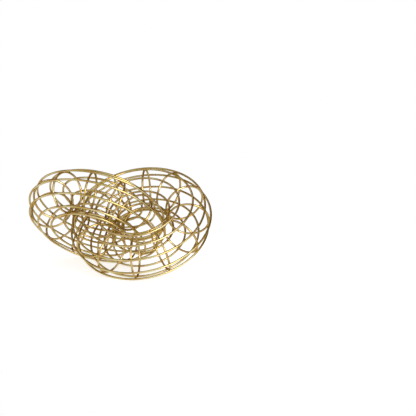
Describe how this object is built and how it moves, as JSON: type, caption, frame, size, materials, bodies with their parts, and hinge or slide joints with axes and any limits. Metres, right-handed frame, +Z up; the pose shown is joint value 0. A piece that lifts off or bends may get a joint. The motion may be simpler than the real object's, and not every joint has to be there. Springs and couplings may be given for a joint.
{
  "type": "chain link sculpture",
  "caption": "Table ornament of interlocked ring links, each an open tube of gold wire hoops welded over small wire ribs, lying so that the links lean on each other.",
  "frame": {"origin": "on the table, in the middle between the two links, at the bottom centre of the part", "axes": "+X from the centre of the left link to the centre of the right link, along the longest extent; +Z up, along the shortest extent; -Y towards the viewer"},
  "size_m": [0.3134, 0.203, 0.1693],
  "materials": {
    "gold_wire": "satin antique gold plating on steel wire"
  },
  "bodies": {
    "right_link": {"right_link_hoop_01": "gold_wire", "right_link_hoop_02": "gold_wire", "right_link_hoop_03": "gold_wire", "right_link_hoop_04": "gold_wire", "right_link_hoop_05": "gold_wire", "right_link_hoop_06": "gold_wire", "right_link_hoop_07": "gold_wire", "right_link_hoop_08": "gold_wire", "right_link_hoop_09": "gold_wire", "right_link_hoop_10": "gold_wire", "right_link_rib_01": "gold_wire", "right_link_rib_02": "gold_wire", "right_link_rib_03": "gold_wire", "right_link_rib_04": "gold_wire", "right_link_rib_05": "gold_wire", "right_link_rib_06": "gold_wire", "right_link_rib_07": "gold_wire", "right_link_rib_08": "gold_wire", "right_link_rib_09": "gold_wire", "right_link_rib_10": "gold_wire", "right_link_rib_11": "gold_wire", "right_link_rib_12": "gold_wire"},
    "left_link": {"left_link_hoop_01": "gold_wire", "left_link_hoop_02": "gold_wire", "left_link_hoop_03": "gold_wire", "left_link_hoop_04": "gold_wire", "left_link_hoop_05": "gold_wire", "left_link_hoop_06": "gold_wire", "left_link_hoop_07": "gold_wire", "left_link_hoop_08": "gold_wire", "left_link_hoop_09": "gold_wire", "left_link_hoop_10": "gold_wire", "left_link_rib_01": "gold_wire", "left_link_rib_02": "gold_wire", "left_link_rib_03": "gold_wire", "left_link_rib_04": "gold_wire", "left_link_rib_05": "gold_wire", "left_link_rib_06": "gold_wire", "left_link_rib_07": "gold_wire", "left_link_rib_08": "gold_wire", "left_link_rib_09": "gold_wire", "left_link_rib_10": "gold_wire", "left_link_rib_11": "gold_wire", "left_link_rib_12": "gold_wire"}
  },
  "joints": [
    {"name": "link_travel", "type": "hinge", "parent": "right_link", "child": "left_link", "pos_m": [0.03894, 0, 0.08464], "axis": [0, 0.6052, -0.7961], "range_deg": [0, 141]}
  ]
}
